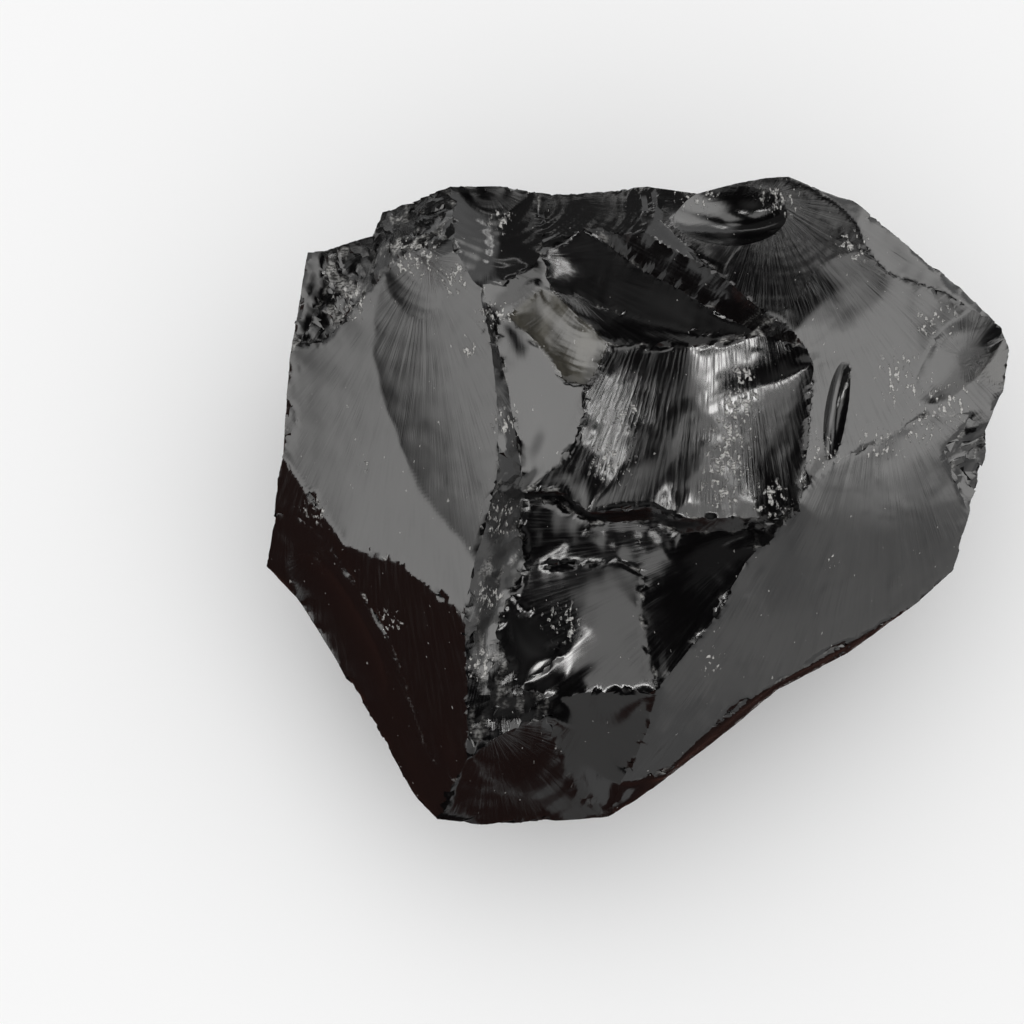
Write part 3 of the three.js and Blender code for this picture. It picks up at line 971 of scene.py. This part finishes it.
# Studio cards, seen only in the gloss. toward: direction from the stone in the front's frame;
# distance, width and height in metres; fade: how much of the half width melts into what is behind.
cards = {
    "leftBox": dict(
        toward=(-0.90, 0.04, 0.38), distance=1.1, size=(1.2, 1.05), radiance=3.9, fade=0.85,
    ),
    "rightBox": dict(toward=(0.74, 0.14, 0.62), distance=1.1, size=(1.1, 1.1), radiance=4.6, fade=0.6),
    "rightFill": dict(
        toward=(0.82, -0.46, 0.26), distance=1.0, size=(0.9, 0.8), radiance=1.6, fade=0.7,
    ),
    "backBox": dict(toward=(0.42, 0.54, 0.73), distance=1.0, size=(0.64, 0.46), radiance=3.0, fade=0.6),
    "backRight": dict(
        toward=(0.74, 0.62, 0.14), distance=0.62, size=(0.40, 0.36), radiance=3.8, fade=0.5,
    ),
    "backShade": dict(
        toward=(-0.36, 0.93, 0.04), distance=0.7, size=(1.05, 0.85), radiance=0.14, fade=0.25,
    ),
    "backStrip": dict(
        toward=(-0.10, 0.99, 0.06), distance=0.65, size=(0.60, 0.035), radiance=3.0, fade=0.6,
    ),
    "overhead": dict(
        toward=(-0.02, -0.10, 0.99), distance=0.9, size=(0.60, 0.60), radiance=0.35, fade=0.9,
    ),
    "nearLeft": dict(
        toward=(-0.19, 0.44, 0.88), distance=0.9, size=(0.48, 0.34), radiance=2.5, fade=0.4,
    ),
    "toeBox": dict(
        toward=(-0.29, -0.67, 0.68), distance=0.8, size=(0.42, 0.36), radiance=0.8, fade=0.3,
    ),
    "topBox": dict(toward=(0.28, 0.86, 0.42), distance=0.9, size=(0.32, 0.26), radiance=2.6, fade=0.8),
    "window": dict(
        toward=(0.15, 0.29, 0.95), distance=0.8, size=(0.11, 0.12), radiance=15.0, fade=0.15,
        hole=0.5,
    ),
    "tallWindow": dict(
        toward=(-0.28, 0.26, 0.92), distance=0.8, size=(0.035, 0.22), radiance=26.0, fade=0.4,
    ),
    "bowlWindow": dict(
        toward=(0.42, 0.88, 0.19), distance=0.60, size=(0.12, 0.09), radiance=9.0, fade=0.3,
        hole=0.5,
    ),
}


cardColor = (1.0, 0.99, 0.975, 1)


def softEdge():
    # a group: s(x) * s(y) on a card, where s runs smoothly from 0 at its edge to 1 inside the faded
    # border, less the hole's own rectangle
    group = bpy.data.node_groups.new("softEdge", "ShaderNodeTree")
    group.interface.new_socket("Vector", in_out="INPUT", socket_type="NodeSocketVector")
    for name in ("Half Width", "Half Height", "Fade", "Hole"):
        group.interface.new_socket(name, in_out="INPUT", socket_type="NodeSocketFloat")
    group.interface.new_socket("Mask", in_out="OUTPUT", socket_type="NodeSocketFloat")
    given = group.nodes.new("NodeGroupInput").outputs
    apart = addNode(group, "SeparateXYZ", [(0, given["Vector"])])
    solid = calc(group, "SUBTRACT", 1.0, given["Fade"])
    borders, holes = [], []
    for axis, half in (("X", given["Half Width"]), ("Y", given["Half Height"])):
        across = calc(group, "ABSOLUTE", apart.outputs[axis])
        borders.append(remap(group, across, calc(group, "MULTIPLY", half, solid), half, 1.0, 0.0))
        hole = calc(group, "MULTIPLY", half, given["Hole"])
        inner = calc(group, "MULTIPLY", hole, 0.8)
        holes.append(remap(group, across, inner, calc(group, "ADD", hole, 0.0001)))
    border = calc(group, "MULTIPLY", borders[0], borders[1])
    mask = calc(group, "MULTIPLY", border, calc(group, "MAXIMUM", holes[0], holes[1]))
    group.links.new(mask, group.nodes.new("NodeGroupOutput").inputs["Mask"])
    return group


def cardMaterial(name, settings, edgeGroup):
    # see-through at its border, so that it melts into what is behind it
    material = bpy.data.materials.new(name)
    material.use_nodes = True
    tree = material.node_tree
    tree.nodes.clear()
    edge = addNode(tree, "Group", node_tree=edgeGroup)
    tree.links.new(addNode(tree, "TexCoord").outputs["Object"], edge.inputs["Vector"])
    width, height = settings["size"]
    for socket, value in (
        ("Half Width", width / 2), ("Half Height", height / 2), ("Fade", settings["fade"]),
        ("Hole", settings.get("hole", 0)),
    ):
        edge.inputs[socket].default_value = value
    light = addNode(tree, "Emission", [("Color", cardColor), ("Strength", settings["radiance"])])
    clear = addNode(tree, "BsdfTransparent")
    links = [(0, edge.outputs["Mask"]), (1, clear.outputs[0]), (2, light.outputs[0])]
    both = addNode(tree, "MixShader", links)
    addNode(tree, "OutputMaterial", [(0, both.outputs[0])])
    return material


def stageOnly(thing):
    # seen only in the gloss
    thing.visible_camera = False
    thing.visible_shadow = False
    thing.visible_diffuse = False


def makeCard(name, settings, edgeGroup):
    width, height = settings["size"]
    square = [(x * width / 2, y * height / 2, 0) for x, y in ((-1, -1), (1, -1), (1, 1), (-1, 1))]
    mesh = bpy.data.meshes.new(name)
    mesh.from_pydata(square, [], [(0, 1, 2, 3)])
    mesh.materials.append(cardMaterial(name, settings, edgeGroup))
    card = bpy.data.objects.new(name, mesh)
    heading = Vector(unit(aimRoom(settings["toward"])))
    card.location = heading * settings["distance"] + Vector((0, 0, studio["cardCentre"]))
    card.rotation_euler = heading.to_track_quat("Z", "Y").to_euler()
    bpy.context.collection.objects.link(card)
    stageOnly(card)


# Brown and near-black cloths, seen only in the gloss. turn: degrees from +X towards +Y; radius and
# height in metres.
cloths = {
    "brownWall": dict(
        turn=(162, 226), radius=(0.030, 0.23), height=(0.001, 0.085), color=(0.150, 0.068, 0.053),
    ),
    "darkWall": dict(
        turn=(226, 243), radius=(0.030, 0.23), height=(0.001, 0.095), color=(0.022, 0.015, 0.013),
    ),
    "toeWall": dict(
        turn=(243, 254), radius=(0.030, 0.23), height=(0.001, 0.030), color=(0.022, 0.015, 0.013),
    ),
    "midWall": dict(
        turn=(254, 263), radius=(0.030, 0.23), height=(0.001, 0.085), color=(0.150, 0.068, 0.053),
    ),
    "footWall": dict(
        turn=(263, 284), radius=(0.030, 0.23), height=(0.001, 0.140), color=(0.150, 0.068, 0.053),
    ),
    "brownFloor": dict(
        turn=(284, 352), radius=(0.020, 0.13), height=(0.001, 0.004), color=(0.110, 0.055, 0.045),
    ),
}


def makeCloth(name, settings):
    # radius r0 + (r1 - r0) v and height h0 + (h1 - h0) v**2.2 over the turn
    turn = np.radians(np.linspace(*settings["turn"], 48))
    along, rise = np.meshgrid(turn, np.linspace(0, 1, 12), indexing="ij")
    near, far = settings["radius"]
    low, high = settings["height"]
    radius = near + (far - near) * rise
    height = low + (high - low) * rise ** 2.2
    points = np.stack([radius * np.cos(along), radius * np.sin(along), height], axis=2).reshape(-1, 3)
    ids = np.arange(along.size).reshape(along.shape)
    quads = np.stack([ids[:-1, :-1], ids[1:, :-1], ids[1:, 1:], ids[:-1, 1:]], axis=-1).reshape(-1, 4)
    mesh = bpy.data.meshes.new(name)
    mesh.from_pydata(points.tolist(), [], quads.tolist())
    mesh.materials.append(plainMaterial(name, settings["color"]))
    cloth = bpy.data.objects.new(name, mesh)
    bpy.context.collection.objects.link(cloth)
    stageOnly(cloth)


# A pale floor and an even white world. The flag is a black disc overhead, seen only in the gloss, so
# that flat breaks look black.
studio = {
    "floor": (0.92, 0.92, 0.92),
    "world": (1.04, 1.04, 1.04, 1),
    "flag": (0.002, 0.002, 0.002),
    "flagRadius": 2.9,
    "flagHeight": 2.0,
    "cardCentre": 0.035,  # height of the point that every card faces
}


def makeStudio():
    bpy.ops.mesh.primitive_plane_add(size=14, location=(0, 0, 0))
    floor = bpy.context.object
    floor.name = "floor"
    floor.data.materials.append(plainMaterial("paleFloor", studio["floor"]))
    bpy.ops.mesh.primitive_circle_add(vertices=64, radius=studio["flagRadius"], fill_type="NGON",
                                      location=(0, 0, studio["flagHeight"]))
    flag = bpy.context.object
    flag.name = "overheadFlag"
    flag.data.materials.append(plainMaterial("blackCloth", studio["flag"]))
    stageOnly(flag)
    world = bpy.data.worlds.new("studio")
    bpy.context.scene.world = world
    world.use_nodes = True
    world.node_tree.nodes["Background"].inputs["Color"].default_value = studio["world"]


stone = makeStone()
stone.data.materials.append(obsidianMaterial())
print("stone", len(stone.data.polygons), "faces")
makeStudio()
for name, settings in cloths.items():
    makeCloth(name, settings)
edgeGroup = softEdge()
for name, settings in cards.items():
    makeCard(name, settings, edgeGroup)
print("studio", len(cards), "cards")

# All in millimetres; width is what the picture takes in at the aim.
cameraSettings = {"distance": 600, "aim": (-20.2, -2.1, 0), "width": 170.0, "sensor": 36}
camera = bpy.data.cameras.new("camera")
camera.sensor_width = cameraSettings["sensor"]
camera.lens = cameraSettings["sensor"] * cameraSettings["distance"] / cameraSettings["width"]
viewer = bpy.data.objects.new("camera", camera)
target = Vector(toRoom([cameraSettings["aim"]])[0])
heading = Vector(aimRoom((0, 0, 1)))
viewer.location = target + heading * (cameraSettings["distance"] / 1000)
viewer.rotation_euler = heading.to_track_quat("Z", "Y").to_euler()
bpy.context.collection.objects.link(viewer)
bpy.context.scene.camera = viewer
bpy.context.scene.view_settings.view_transform = "Standard"
